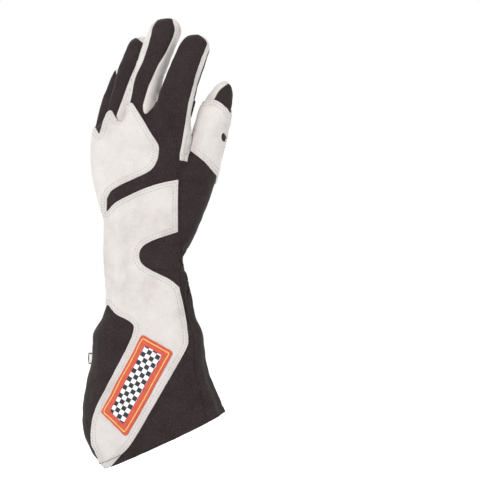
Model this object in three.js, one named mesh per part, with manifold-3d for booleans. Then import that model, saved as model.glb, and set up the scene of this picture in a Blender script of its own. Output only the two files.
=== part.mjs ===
// A racing glove for the left hand with a long gauntlet cuff, in the form that a
// hand gives it. Millimetres, +Z along the fingers, +X the thumb side, -Y the back
// of the hand. The origin is the middle of the wrist, at the wrist seam.
import * as THREE from 'three';
import { mergeVertices } from 'three/addons/utils/BufferGeometryUtils.js';
import Module from 'manifold-3d';

const wasm = await Module();
wasm.setup();

// Driving sizes
const WALL = 1.6;
const GAP = 0.3;
// Edges shorter than this are merged where solids are joined and cut
const FINENESS = 0.03;
const SUEDE = 1.2;
const BADGE_THICK = 1.2;
const BADGE = { width: 28, length: 80, corner: 3, x: -9, z: -100.5, tilt: -28 };
const LABEL = { out: 4.2, tall: 9, thick: 1.2, z: -79 };
// Points round each section, outside and inside
const SIDES = { body: [24, 12], finger: [12, 6], thumb: [14, 8] };
const BODY_SQUARENESS = 2.3;
const FINGER_SQUARENESS = 2.6;
const THUMB_SQUARENESS = 2.15;
const BACK_VIEW = THREE.MathUtils.degToRad(25);
const PALM_VIEW = THREE.MathUtils.degToRad(18);
const FAR = 140;

// The hand, wrist and cuff: one level section for each row, from the mouth upward
const BODY = [
  { z: -186, x: 34, y: 0, a: 54, b: 28 },
  { z: -163, x: 21.5, y: 0, a: 65, b: 31 },
  { z: -147, x: 13.6, y: 0, a: 69.5, b: 32 },
  { z: -124, x: 7.5, y: 0, a: 67, b: 31.5 },
  { z: -105, x: 4.6, y: 0, a: 61.5, b: 30.5 },
  { z: -83, x: 2.9, y: 0, a: 54.3, b: 28 },
  { z: -62, x: 2.8, y: 0, a: 52.4, b: 27 },
  { z: -53, x: 2.6, y: 0, a: 50.2, b: 26 },
  { z: -42, x: 3.9, y: 0, a: 43.8, b: 25 },
  { z: -28, x: 5, y: 0, a: 39.8, b: 24 },
  { z: -13, x: 3, y: 0, a: 38.2, b: 23 },
  { z: 0, x: 0.3, y: 0, a: 37.1, b: 22 },
  { z: 22, x: -0.9, y: 0, a: 37, b: 21.2 },
  { z: 43, x: -1, y: 0.4, a: 36.8, b: 20.6 },
  { z: 60, x: -3.7, y: 0.8, a: 40, b: 20 },
  { z: 78, x: -5.4, y: 1.2, a: 43.4, b: 19 },
  { z: 103, x: -5.8, y: 2.2, a: 46.4, b: 17.2 },
  { z: 124, x: -2.6, y: 3.4, a: 45.8, b: 15.2 },
  { z: 133, x: -1.4, y: 4.4, a: 42, b: 12 },
  { z: 138.5, x: -1, y: 5.6, a: 34, b: 6 },
];

// Gathers of the wrist elastic: how far the folds stand out on either side of the seam
const GATHER = { depth: 1.3, above: 26, below: 34, frontFrom: -0.35 };

// The fingers: root, length, lean to the thumb side and curl to the palm in degrees,
// half width and half depth at root and tip
const FINGERS = [
  { name: 'little', x: -42.4, y: 6, z: 112, length: 73.5, lean: 4, curlRoot: 12, curlTip: 40,
    rootA: 9.8, rootB: 9.4, tipA: 8.6, tipB: 7.8 },
  { name: 'ring', x: -27, y: 0, z: 120, length: 93.5, lean: 5.5, curlRoot: 6, curlTip: 42,
    rootA: 10.2, rootB: 11.4, tipA: 9.6, tipB: 8.6 },
  { name: 'middle', x: -5, y: -1, z: 125, length: 106, lean: 6, curlRoot: 4, curlTip: 42,
    rootA: 11.6, rootB: 12.6, tipA: 11.8, tipB: 9.4 },
  { name: 'index', x: 22.5, y: 2, z: 125, length: 89, lean: 11, curlRoot: 4, curlTip: 38,
    rootA: 15.4, rootB: 14.2, tipA: 12.2, tipB: 9.6 },
];
const FINGER_BURIED = { length: 14, share: 0.7 };
const FINGER_STATIONS = 4;
const TIP_RINGS = [0.42, 0.76, 1];
const TIP_ROUNDING = 2.2;

// Where the seams run on a finger, as shares of its half depth: back to side, side to front
const BACK_SEAM = -0.3;
const FRONT_SEAM = 0.62;
const TRIM_SEAM = 0.12;
const BACK_STOPS_SHORT = 5;
const SIDE_STOPS_SHORT = 13;
const GUSSET_REACH = 3;
const RADIAL_REACH = 16;

// The thumb and the ball of the thumb, one level section for each row
const THUMB = [
  { z: 6, x: 15, y: 4, a: 17, b: 13 },
  { z: 20, x: 18.5, y: 6, a: 19.6, b: 18 },
  { z: 38, x: 24, y: 9, a: 21.4, b: 20 },
  { z: 60, x: 31.5, y: 12.4, a: 22, b: 20.6 },
  { z: 81, x: 41, y: 16, a: 19, b: 18 },
  { z: 95, x: 45.5, y: 18.5, a: 16.6, b: 16.4 },
  { z: 110, x: 50.2, y: 20.8, a: 14.8, b: 15 },
  { z: 127, x: 54.6, y: 23, a: 14.4, b: 14.2 },
  { z: 139, x: 57, y: 24.2, a: 13.8, b: 13.4 },
  { z: 150, x: 60.4, y: 25.6, a: 11.4, b: 12 },
  { z: 158, x: 62.8, y: 26.6, a: 8.4, b: 9.4 },
  { z: 164, x: 64.4, y: 27.4, a: 4.6, b: 5.4 },
  { z: 166.6, x: 65, y: 27.8, a: 1.6, b: 2 },
];
// The seam between the thumb's black back and its white front, as x for each height
const THUMB_SEAM = [
  { z: 0, x: 6 },
  { z: 37, x: 14 },
  { z: 65, x: 20 },
  { z: 92, x: 33 },
  { z: 123, x: 47 },
  { z: 157, x: 59 },
  { z: 180, x: 66 },
];

// The hem: a slanted plane, longest on the little finger's side
const HEM = { z: -154.3, perX: 0.44, perY: 0.3 };
// The side seams of the hand and of the cuff, as y = at + perX * x
const HAND_SIDE = { at: 0.5, perX: 0 };
const CUFF_SIDE = { at: -4.5, perX: -0.085 };
const SEAM_BETWEEN = { bodyTop: 131, trimFoot: 96 };

// The white overlay on the back, as it is drawn on the cloth seen from BACK_VIEW.
// Each stretch runs on from the one before it, and a curved one is a smooth line.
const BACK_OVERLAY = [
  { curved: false, x: [-64, -40], z: [127, 120] },
  { curved: true, x: [-36, -30.5, -25.9], z: [133, 140.8, 134.5] },
  { curved: false, x: [-23.8], z: [131.8] },
  { curved: true, x: [-15, -12.4, -5.6, 6.4, 12.9, 9.9, -5.6, -27.9], z: [145, 146.8, 138, 119.7, 104, 92, 81.2, 69] },
  { curved: true, x: [-33.6, -33.6], z: [59.8, 51] },
  { curved: true, x: [-23.9, -5.6, 11.2, 29.4], z: [59.8, 68.8, 74.9, 79] },
  { curved: false, x: [29.4], z: [33.4] },
  { curved: true, x: [7, -3.9, 2.6, 21.6, 30.7], z: [25.6, 14.2, 2.4, -7.2, -14.7] },
  { curved: true, x: [35.1, 38.6, 34.9, 9.8, -24.2, -30], z: [-34.8, -58, -71.8, -115.4, -164, -190] },
  { curved: false, x: [-52], z: [-190] },
  { curved: true, x: [-46.4, -48.1, -42.5, -22.4, -12.1], z: [-154, -138, -117.9, -78.8, -57.9] },
  { curved: true, x: [-10.7, -25.2, -32.5], z: [-48, -39.2, -32] },
  { curved: false, x: [-64], z: [-31] },
];

// The dark patch on the palm, drawn as seen from PALM_VIEW with the little finger at left
const PALM_PATCH = [
  { curved: true, x: [-48, -45.6, -37.5], z: [131.5, 137.4, 138.4] },
  { curved: false, x: [-27.5], z: [128.6] },
  { curved: true, x: [-24.6, -22.8, -17.2, -6.4], z: [138, 145, 145.2, 135.7] },
  { curved: true, x: [3.3, 10, 17.6], z: [149, 149.6, 136.6] },
  { curved: true, x: [26.8, 33, 36.5, 29.4, 21, 5, -7.2], z: [147, 148, 145, 129, 113, 106, 91.7] },
  { curved: true, x: [-12, -16.5, -22.8, -36.3], z: [75, 49, 39, 31] },
  { curved: true, x: [-43, -46, -47.6], z: [43, 70, 110] },
];

// The white overlay on the thumb: its back as seen from BACK_VIEW, its two lobes from PALM_VIEW
const THUMB_OVERLAY_BACK = [
  { curved: true, x: [30, 40, 52.3, 62.4, 70], z: [112, 104.6, 94.6, 83.5, 76] },
  { curved: false, x: [90, 90], z: [76, 136] },
  { curved: true, x: [76, 71.8, 60.7, 46], z: [137, 141.7, 148.8, 153] },
];
const THUMB_LOBE_HIGH = [
  { curved: false, x: [80, 80, 61.4], z: [112, 142, 142] },
  { curved: true, x: [51.3, 44.5, 40.7, 45.4], z: [139.5, 136.6, 127.3, 118.1] },
  { curved: false, x: [57.2, 62], z: [114.7, 113] },
];
const THUMB_LOBE_LOW = [
  { curved: false, x: [80, 80, 62], z: [86, 113, 113] },
  { curved: true, x: [56.8, 49.6, 35.3, 32, 37, 48.8, 53.5, 62], z: [109.7, 102, 93, 87, 76, 76, 86, 90] },
];

// Small helpers
const lerp = THREE.MathUtils.lerp;

function solidFromIndexed(points, faces) {
  const geometry = new THREE.BufferGeometry();
  geometry.setAttribute('position', new THREE.Float32BufferAttribute(points.flat(), 3));
  geometry.setIndex(faces.flat());
  return solidFromGeometry(geometry);
}

function solidFromGeometry(geometry) {
  const bare = geometry.clone();
  bare.deleteAttribute('normal');
  bare.deleteAttribute('uv');
  const merged = mergeVertices(bare, 1e-4);
  const mesh = new wasm.Mesh({
    numProp: 3,
    vertProperties: new Float32Array(merged.attributes.position.array),
    triVerts: new Uint32Array(merged.index.array),
    tolerance: FINENESS,
  });
  return new wasm.Manifold(mesh);
}

function joined(solids) {
  return solids.reduce((all, next) => all.add(next));
}

// Rings of equally many points, joined side by side and closed by flat ends
function loft(rings) {
  const count = rings[0].length;
  const points = rings.flat();
  const faces = [];
  for (let r = 0; r + 1 < rings.length; r += 1) {
    for (let k = 0; k < count; k += 1) {
      const next = (k + 1) % count;
      const low = r * count;
      const high = low + count;
      faces.push([low + k, low + next, high + next], [low + k, high + next, high + k]);
    }
  }
  const last = (rings.length - 1) * count;
  for (let k = 1; k + 1 < count; k += 1) {
    faces.push([0, k + 1, k], [last, last + k, last + k + 1]);
  }
  return solidFromIndexed(points, faces);
}

function roundedPoint(angle, squareness) {
  const bend = (value) => Math.sign(value) * Math.abs(value) ** (2 / squareness);
  return [bend(Math.cos(angle)), bend(Math.sin(angle))];
}

// The folds of the wrist elastic: neighbouring points stand out and in by turns
function gatherAt(k, down, z) {
  const reach = z > 0 ? GATHER.above : GATHER.below;
  const fade = Math.max(0, 1 - Math.abs(z) / reach);
  const front = THREE.MathUtils.smoothstep(down, GATHER.frontFrom, 0.25);
  return (k % 2 === 0 ? 1 : -1) * GATHER.depth * fade * front;
}

function levelLoft(rows, sides, squareness, grow, folds) {
  const rings = rows.map((row) => {
    const ring = [];
    for (let k = 0; k < sides; k += 1) {
      const [across, down] = roundedPoint((k / sides) * Math.PI * 2, squareness);
      const fold = folds ? gatherAt(k, down, row.z) : 0;
      const a = Math.max(0.5, row.a + grow + fold);
      const b = Math.max(0.5, row.b + grow + fold);
      ring.push([row.x + across * a, row.y + down * b, row.z]);
    }
    return ring;
  });
  return loft(rings);
}

// The middle line of a finger: it starts along +Z and curls evenly towards the palm
function fingerPlace(finger, along) {
  const root = THREE.MathUtils.degToRad(finger.curlRoot);
  const turn = THREE.MathUtils.degToRad(finger.curlTip) - root;
  const t = Math.max(0, along / finger.length);
  const curl = root + turn * Math.min(1, t);
  const reach = finger.length / turn;
  const straight = Math.min(0, along);
  const y = finger.y + reach * (Math.cos(root) - Math.cos(curl)) + straight * Math.sin(root);
  const rise = reach * (Math.sin(curl) - Math.sin(root)) + straight * Math.cos(root);
  const lean = Math.tan(THREE.MathUtils.degToRad(finger.lean));
  const tangent = new THREE.Vector3(lean * Math.cos(curl), Math.sin(curl), Math.cos(curl)).normalize();
  const across = new THREE.Vector3(1, 0, 0).addScaledVector(tangent, -tangent.x).normalize();
  return {
    middle: new THREE.Vector3(finger.x + rise * lean, y, finger.z + rise),
    across,
    down: new THREE.Vector3().crossVectors(tangent, across),
    tangent,
    a: lerp(finger.rootA, finger.tipA, Math.min(1, t)),
    b: lerp(finger.rootB, finger.tipB, Math.min(1, t)),
  };
}

function fingerPoint(place, u, v) {
  const point = place.middle.clone();
  point.addScaledVector(place.across, u).addScaledVector(place.down, v);
  return point.toArray();
}

function fingerStations(finger) {
  const cap = finger.tipA * 1.15;
  const straightEnd = finger.length - cap;
  const list = [{ along: -FINGER_BURIED.length, share: FINGER_BURIED.share }];
  for (let i = 0; i <= FINGER_STATIONS; i += 1) {
    list.push({ along: lerp(0, straightEnd, i / FINGER_STATIONS), share: 1 });
  }
  TIP_RINGS.forEach((t) => {
    const share = Math.max(0.06, (1 - t ** TIP_ROUNDING) ** (1 / TIP_ROUNDING));
    list.push({ along: straightEnd + cap * t, share });
  });
  return list;
}

function fingerLoft(finger, sides, grow) {
  const stations = fingerStations(finger);
  const rings = stations.map((station) => {
    const place = fingerPlace(finger, station.along);
    if (station.along > finger.length / 2) {
      place.middle.addScaledVector(place.tangent, grow * (1 - station.share));
    }
    const ring = [];
    for (let k = 0; k < sides; k += 1) {
      const [u, v] = roundedPoint(((k + 0.5) / sides) * Math.PI * 2, FINGER_SQUARENESS);
      const a = (place.a + grow) * station.share;
      const b = (place.b + grow) * station.share;
      ring.push(fingerPoint(place, u * a, v * b));
    }
    return ring;
  });
  return loft(rings);
}

// A bar that follows a finger: u and v say how far it reaches across and down there
function fingerBar(finger, from, to, u, v) {
  const between = fingerStations(finger).map((station) => station.along);
  const steps = [from, ...between.filter((along) => along > from + 1 && along < to - 1), to];
  const rings = steps.map((along) => {
    const place = fingerPlace(finger, along);
    const [u0, u1] = u(place);
    const [v0, v1] = v(place);
    return [
      fingerPoint(place, u0, v0),
      fingerPoint(place, u1, v0),
      fingerPoint(place, u1, v1),
      fingerPoint(place, u0, v1),
    ];
  });
  return loft(rings);
}

const fingerOf = (name) => FINGERS.find((finger) => finger.name === name);

// The whole glove as a solid, grown outward or inward by an even amount
const layerOf = (grow) => (grow < 0 ? 1 : 0);
const handForm = (grow) => joined([
  levelLoft(BODY, SIDES.body[layerOf(grow)], BODY_SQUARENESS, grow, grow >= 0),
  ...FINGERS.map((finger) => fingerLoft(finger, SIDES.finger[layerOf(grow)], grow)),
]);
const thumbForm = (grow) => levelLoft(THUMB, SIDES.thumb[layerOf(grow)], THUMB_SQUARENESS, grow, false);

// A closed outline from stretches of straight and curved line
function outlineOf(stretches) {
  const shape = new THREE.Shape();
  stretches.forEach(({ curved, x, z }, i) => {
    const points = x.map((value, k) => new THREE.Vector2(value, z[k]));
    if (i === 0) {
      shape.moveTo(points[0].x, points[0].y);
      points.shift();
    }
    if (curved) {
      shape.splineThru(points);
    } else {
      points.forEach((point) => shape.lineTo(point.x, point.y));
    }
  });
  shape.closePath();
  return shape;
}

// An outline drawn on a view plane and pushed through the glove along the line of sight
function prismOf(shape, from, to, view, back) {
  const side = back ? 1 : -1;
  const geometry = new THREE.ExtrudeGeometry(shape, {
    depth: to - from,
    bevelEnabled: false,
    curveSegments: 1,
  });
  const right = new THREE.Vector3(Math.cos(view), side * Math.sin(view), 0);
  const up = new THREE.Vector3(0, 0, 1);
  const out = new THREE.Vector3().crossVectors(right, up);
  const place = new THREE.Matrix4().makeBasis(right, up, out);
  place.setPosition(out.clone().multiplyScalar(from));
  geometry.applyMatrix4(place);
  return solidFromGeometry(geometry);
}

// A block between two heights whose dorsal or palmar face is y = at + perX * x
function sideBlock(line, shift, low, high, dorsal) {
  const face = (x) => line.at + line.perX * x + shift;
  const far = dorsal ? -FAR : FAR;
  const ring = (z) => {
    const corners = [[-FAR, face(-FAR), z], [FAR, face(FAR), z], [FAR, far, z], [-FAR, far, z]];
    return dorsal ? corners.reverse() : corners;
  };
  return loft([ring(low), ring(high)]);
}

const FOOT = -200;
const TOP = 260;
const outer = handForm(0);
const thumbOuter = thumbForm(0);
const hollow = handForm(-WALL).add(thumbForm(-WALL));
const shell = outer.add(thumbOuter).subtract(hollow);
const handShell = shell.intersect(outer);
const thumbShell = shell.subtract(handForm(GAP));

// What lies above or below the hem plane, moved along Z by shift
function hemBlock(shift, height) {
  const face = (x, y) => HEM.z + HEM.perX * x + HEM.perY * y + shift;
  const corners = [[-FAR, -FAR], [FAR, -FAR], [FAR, FAR], [-FAR, FAR]];
  const low = corners.map(([x, y]) => [x, y, face(x, y)]);
  const high = corners.map(([x, y]) => [x, y, face(x, y) + height]);
  return loft([low, high]);
}

function levelBlock(low, high) {
  const ring = (z) => [[-FAR, -FAR, z], [FAR, -FAR, z], [FAR, FAR, z], [-FAR, FAR, z]];
  return loft([ring(low), ring(high)]);
}

// Seams on the fingers
const fingerBack = (finger, gap) => fingerBar(
  finger,
  -FINGER_BURIED.length,
  finger.length - BACK_STOPS_SHORT + gap,
  (place) => [-place.a - 2, place.a + 2],
  (place) => [-place.b - 6, BACK_SEAM * place.b + gap],
);
const fingerSide = (finger, side, gap, from, reach, v0, v1) => fingerBar(
  finger,
  from - gap,
  finger.length - SIDE_STOPS_SHORT + gap,
  (place) => (side > 0 ? [GAP - gap, place.a + reach] : [-place.a - reach, gap - GAP]),
  (place) => [v0 * place.b - gap, v1 * place.b + gap],
);
const backCutter = (gap) => joined([
  sideBlock(HAND_SIDE, gap, 0, SEAM_BETWEEN.bodyTop + gap, true),
  ...FINGERS.map((finger) => fingerBack(finger, gap)),
]);

function betweenFingers(low, high, gap) {
  const start = (finger) => SEAM_BETWEEN.bodyTop - 5 - finger.z;
  return joined([
    fingerSide(low, 1, gap, start(low), GUSSET_REACH, BACK_SEAM, FRONT_SEAM),
    fingerSide(high, -1, gap, start(high), GUSSET_REACH, BACK_SEAM, FRONT_SEAM),
  ]);
}

function largest(solid) {
  const parts = solid.decompose();
  parts.sort((one, two) => two.volume() - one.volume());
  return parts[0];
}

// Materials
const finish = (color, roughness) => new THREE.MeshStandardMaterial({ color, roughness, metalness: 0 });
const knit = () => finish('#3a3230', 0.9);
const suede = () => finish('#e6e0db', 0.95);
const darkSuede = () => finish('#2a2623', 0.95);
const badgeCloth = () => finish('#e8603a', 0.7);

const glove = new THREE.Group();

function addPart(name, solid, material) {
  const mesh = largest(solid).getMesh();
  const geometry = new THREE.BufferGeometry();
  geometry.setAttribute('position', new THREE.BufferAttribute(mesh.vertProperties, 3));
  geometry.setIndex(new THREE.BufferAttribute(mesh.triVerts, 1));
  geometry.computeVertexNormals();
  const part = new THREE.Mesh(geometry, material);
  part.name = name;
  glove.add(part);
}

// Hand: back, sides of the fingers and palm
const HALF_GAP = GAP / 2;
const hand = handShell.intersect(levelBlock(HALF_GAP, TOP));
const index = fingerOf('index');
const trimFrom = SEAM_BETWEEN.trimFoot - index.z;
const indexTrim = (gap) => fingerSide(index, 1, gap, trimFrom, RADIAL_REACH, BACK_SEAM, TRIM_SEAM);
const indexSide = (gap) => fingerSide(index, 1, gap, trimFrom, RADIAL_REACH, TRIM_SEAM, FRONT_SEAM);
const gussets = [['little', 'ring'], ['ring', 'middle'], ['middle', 'index']];
const gussetBars = gussets.map(([low, high]) => betweenFingers(fingerOf(low), fingerOf(high), 0));
const backBars = backCutter(GAP);
const radialBars = indexTrim(HALF_GAP).add(indexSide(HALF_GAP));

addPart('back_panel', hand.intersect(backCutter(0)).subtract(radialBars), knit());
gussets.forEach(([low, high]) => {
  const bars = betweenFingers(fingerOf(low), fingerOf(high), -GAP);
  addPart(`gusset_${low}_${high}`, hand.intersect(bars).subtract(backBars), suede());
});
addPart('index_trim', hand.intersect(indexTrim(-GAP)), suede());
addPart('index_side', hand.intersect(indexSide(-GAP)), knit());
const palm = hand.subtract(backBars).subtract(joined(gussetBars)).subtract(radialBars);
addPart('palm_panel', palm, suede());

// Thumb: black back that runs down towards the wrist, white front
function thumbSide(shift) {
  const rings = THUMB_SEAM.map(({ z, x }) => [
    [x + shift, -FAR, z],
    [FAR, -FAR, z],
    [FAR, FAR, z],
    [x + shift, FAR, z],
  ]);
  return loft(rings);
}
addPart('thumb_back', thumbShell.intersect(thumbSide(HALF_GAP)), knit());
addPart('thumb_front', thumbShell.subtract(thumbSide(-HALF_GAP)), suede());

// Cuff: back and palm halves down to the slanted hem
const aboveHem = hemBlock(0, TOP * 2);
const cuff = handShell.intersect(levelBlock(FOOT, -HALF_GAP)).intersect(aboveHem);
addPart('cuff_back', cuff.intersect(sideBlock(CUFF_SIDE, -HALF_GAP, FOOT, 1, true)), knit());
addPart('cuff_palm', cuff.intersect(sideBlock(CUFF_SIDE, HALF_GAP, FOOT, 1, false)), knit());

// Overlays sewn on top
const onTop = handForm(GAP + SUEDE).subtract(handForm(GAP));
const nearThumb = thumbForm(GAP);
const handBack = sideBlock(HAND_SIDE, -GAP, FOOT, TOP, true);
const overlayPrism = prismOf(outlineOf(BACK_OVERLAY), -FAR, FAR, BACK_VIEW, true);
const backOverlay = onTop.intersect(overlayPrism).intersect(handBack).intersect(aboveHem);
addPart('back_overlay', backOverlay.subtract(nearThumb), suede());
const handFront = sideBlock(HAND_SIDE, GAP, 0, TOP, false);
const patchPrism = prismOf(outlineOf(PALM_PATCH), -FAR, FAR, PALM_VIEW, false);
addPart('palm_patch', onTop.intersect(patchPrism).intersect(handFront).subtract(nearThumb), darkSuede());

// The thumb's overlay: one piece whose back and two lobes meet on the outer side
const LOBE_LAP = 0.4;
function thumbHalf(dorsal) {
  const rings = THUMB.map(({ z, y }) => {
    const corners = dorsal
      ? [[-FAR, -FAR], [FAR, -FAR], [FAR, y + LOBE_LAP], [-FAR, y + LOBE_LAP]]
      : [[-FAR, y - LOBE_LAP], [FAR, y - LOBE_LAP], [FAR, FAR], [-FAR, FAR]];
    return corners.map(([x, depth]) => [x, depth, z]);
  });
  return loft(rings);
}
const onThumb = thumbForm(GAP + SUEDE).subtract(nearThumb).subtract(handForm(GAP * 2 + SUEDE));
const thumbBackPrism = prismOf(outlineOf(THUMB_OVERLAY_BACK), -FAR, FAR, BACK_VIEW, true);
const lobePrisms = joined([THUMB_LOBE_HIGH, THUMB_LOBE_LOW].map(
  (lobe) => prismOf(outlineOf(lobe), -FAR, FAR, PALM_VIEW, false),
));
const wrap = thumbBackPrism.intersect(thumbHalf(true)).add(lobePrisms.intersect(thumbHalf(false)));
addPart('thumb_overlay', onThumb.intersect(wrap), suede());

// The embroidered badge, bare, on the overlay
function badgeOutline() {
  const { width, length, corner } = BADGE;
  const [right, top] = [width / 2, length / 2];
  const shape = new THREE.Shape();
  shape.moveTo(corner - right, -top);
  shape.lineTo(right - corner, -top);
  shape.quadraticCurveTo(right, -top, right, corner - top);
  shape.lineTo(right, top - corner);
  shape.quadraticCurveTo(right, top, right - corner, top);
  shape.lineTo(corner - right, top);
  shape.quadraticCurveTo(-right, top, -right, top - corner);
  shape.lineTo(-right, corner - top);
  shape.quadraticCurveTo(-right, -top, corner - right, -top);
  const turn = THREE.MathUtils.degToRad(BADGE.tilt);
  const turned = shape.extractPoints(2).shape.map((point) => {
    point.rotateAround(new THREE.Vector2(0, 0), turn);
    return point.add(new THREE.Vector2(BADGE.x, BADGE.z));
  });
  return new THREE.Shape(turned);
}
const badgeLow = GAP * 2 + SUEDE;
const overOverlay = handForm(badgeLow + BADGE_THICK).subtract(handForm(badgeLow));
const badgePrism = prismOf(badgeOutline(), 0, FAR, BACK_VIEW, true);
addPart('badge', overOverlay.intersect(badgePrism), badgeCloth());

// A small folded label that stands out of the cuff's side seam
const labelRow = BODY.find((row) => row.z < LABEL.z && row.z > LABEL.z - LABEL.tall);
const label = new THREE.Mesh(
  new THREE.BoxGeometry(LABEL.out, LABEL.thick, LABEL.tall),
  finish('#f4f2ee', 0.8),
);
label.name = 'side_label';
label.position.set(labelRow.x - labelRow.a - GAP - LABEL.out / 2, 0, LABEL.z);
glove.add(label);

export default glove;
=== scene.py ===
import math

import bpy
import numpy as np
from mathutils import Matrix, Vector, kdtree, noise


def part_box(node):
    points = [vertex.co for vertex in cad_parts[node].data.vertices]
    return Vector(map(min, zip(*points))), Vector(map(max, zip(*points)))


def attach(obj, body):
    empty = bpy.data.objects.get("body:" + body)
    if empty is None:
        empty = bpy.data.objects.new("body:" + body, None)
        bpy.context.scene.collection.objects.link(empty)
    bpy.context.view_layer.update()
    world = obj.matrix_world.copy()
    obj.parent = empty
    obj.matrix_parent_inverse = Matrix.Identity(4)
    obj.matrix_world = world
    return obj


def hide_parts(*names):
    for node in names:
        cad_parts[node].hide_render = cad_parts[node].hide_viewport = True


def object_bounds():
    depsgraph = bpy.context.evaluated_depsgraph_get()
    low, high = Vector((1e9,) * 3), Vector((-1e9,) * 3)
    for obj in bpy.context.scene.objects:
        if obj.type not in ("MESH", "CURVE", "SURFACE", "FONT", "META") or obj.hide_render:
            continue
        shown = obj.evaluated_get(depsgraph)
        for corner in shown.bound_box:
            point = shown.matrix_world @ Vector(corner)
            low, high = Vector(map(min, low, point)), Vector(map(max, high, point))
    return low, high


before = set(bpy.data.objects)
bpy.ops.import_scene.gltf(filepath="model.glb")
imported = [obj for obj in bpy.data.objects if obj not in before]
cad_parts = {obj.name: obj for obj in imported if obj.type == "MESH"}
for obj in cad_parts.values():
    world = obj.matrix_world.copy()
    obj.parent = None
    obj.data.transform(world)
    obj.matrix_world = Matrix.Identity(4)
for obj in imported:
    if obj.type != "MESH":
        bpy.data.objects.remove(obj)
cad_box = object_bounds()

MM = 0.001
BACK_VIEW = math.radians(25)
PALM_VIEW = math.radians(18)
VOXEL = 1.1
WALL = 1.5
BODY_SQUARENESS = 2.3
FINGER_SQUARENESS = 2.6
THUMB_SQUARENESS = 2.15

# The wrist elastic: half sizes of its ring, pitch of its gathers and depth of its casing
WRIST_HALF = (37.5, 22.5)
PLEAT = 6.3
CASING = 9.5
# Where the mesh is finer for the gathers, from and to
GATHERED = (-48, 27)

# Heights of the folds: the gathers above and below the elastic and the dip round them, the
# casing's puckers and its two sunk edges, the swell below it, and the cuff's long folds
GATHERS = (4.2, 3.6)
DIP = 0.9
PUCKER = 0.55
CASING_EDGES = (1.1, 0.5)
SWELL = 4.2
LONG_FOLDS = (0.9, 0.6)
# The cloth's fine unevenness: waves for each millimetre, height and a seed
UNEVEN = ((0.055, 0.8, 3.7), (0.15, 0.4, 9.1))
# Rounds of smoothing: the joined forms, the crotches and webs, and the folds
FORM_ROUNDS = 4
WEB_ROUNDS = 22
FOLD_ROUNDS = 2

# Sewn edges: how far in they are soft and how far they are drawn down, along a plain seam,
# at the seam of the wrist and at the cuff's side seams, and how deep the dark lines of painted seam shade
# lie
SEAM_SOFT = 1.6
SEAM_TUCK = 0.5
WRIST_TUCK = 0.45
SEAM_SUNK = 0.62
CUFF_TUCK = 1.0
# The turned hem: where it ends above the edge and how far it stands out
HEM_TURN = (4.5, 6)
HEM_RAISE = 0.55
HEM_ROW = 4.5
TAIL_ROW = 7

# Overlays: bottom and top above the shell, their rows of stitches in from the edge, how
# far these dent them, and how thin their edge is
LAYER_LOW = 0.05
LAYER_HIGH = 1.25
LAYER_ROUND = 0.9
OVERLAY_HIGH = 1.35
EDGE_SHARE = 0.35
ROWS = (1.9, 4.3)
ROW_DENT = 0.3
ROW_WIDTH = 0.9
BADGE_LOW = 1.4
BADGE_HIGH = 2.6
BADGE_SOFT = 0.8
BADGE_LINE_IN = 2.6
BADGE_LINE_LIFT = 2.55
CHECKS_IN = 7.2
CHECKS_LOW = 2.4
CHECKS_HIGH = 2.95
CHECK_SIDE = 4.1
CHECK_TILT = math.radians(-29)

# Threads, and the dark lines of painted seam shade: sections as side and height, and a stitch as place,
# thickness and height of rings
THREAD_AND_SEAM_SHADE = [(0.28, 0), (0.2, 0.2), (0, 0.28), (-0.2, 0.2), (-0.28, 0)]
BADGE_CORD = [(0.55, 0), (0.4, 0.35), (0, 0.5), (-0.4, 0.35), (-0.55, 0)]
LABEL_CORD = [(0.8, -0.5), (0.8, 0.4), (0, 0.8), (-0.8, 0.4), (-0.8, -0.5)]
STITCH = [(-0.5, 0.35, -0.6), (-0.3, 0.9, 0.0), (0.0, 1.0, 0.25), (0.3, 0.9, 0.0), (0.5, 0.35, -0.6)]
STITCH_SIDES = 6
STITCH_RADIUS = 0.29
STITCH_LIFT = 0.1
# The label: rows and columns of points, how far it reaches into the seam, its half
# thickness and how far it waves
LABEL_GRID = (9, 5)
LABEL_HIDDEN = 2.2
LABEL_HALF = 0.45
LABEL_WAVE = 0.35

# The picture: where the camera aims, its distance in metres, its lens, and the floor's
# depth below the cuff
TARGET_RIGHT = 0.0836
TARGET_UP = 0.0264
CAMERA_FAR = 2.0
CAMERA_LENS = 170.5
FLOOR_DROP = 0.028
FLOOR_HALF = 6

# Level sections of the hand, wrist and cuff: z, middle x, middle y, half width, half depth
BODY = np.array([
    [-190, 37, 0, 50, 27],
    [-172, 24.5, 0, 63.5, 30],
    [-160, 18, 0, 68.5, 31],
    [-147, 13, 0, 70.2, 32],
    [-124, 7.5, 0, 67, 31.5],
    [-105, 4.6, 0, 61.3, 30.3],
    [-83, 2.9, 0, 54.2, 28],
    [-66, 2.8, 0, 52.4, 27],
    [-54, 2.6, 0, 50.4, 26],
    [-42, 3.9, 0, 43.6, 25],
    [-28, 5, 0, 39.8, 24],
    [-13, 3, 0, 38.2, 23],
    [0, 0.3, 0, 37.1, 22],
    [22, -0.9, 0, 36.9, 21.3],
    [43, -1, 0.4, 36.8, 20.6],
    [60, -3.7, 0.8, 40, 20],
    [78, -5.4, 1.2, 43.4, 19],
    [97, -6.7, 1.8, 46, 17.6],
    [112, -5.4, 2.6, 47.2, 16.6],
    [124, -3.6, 3.4, 46.8, 15.2],
    [132, -1.4, 4.4, 42.4, 12.6],
    [137.5, -1, 5.4, 36, 8],
    [139.5, -1, 5.8, 30, 3],
])

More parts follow.
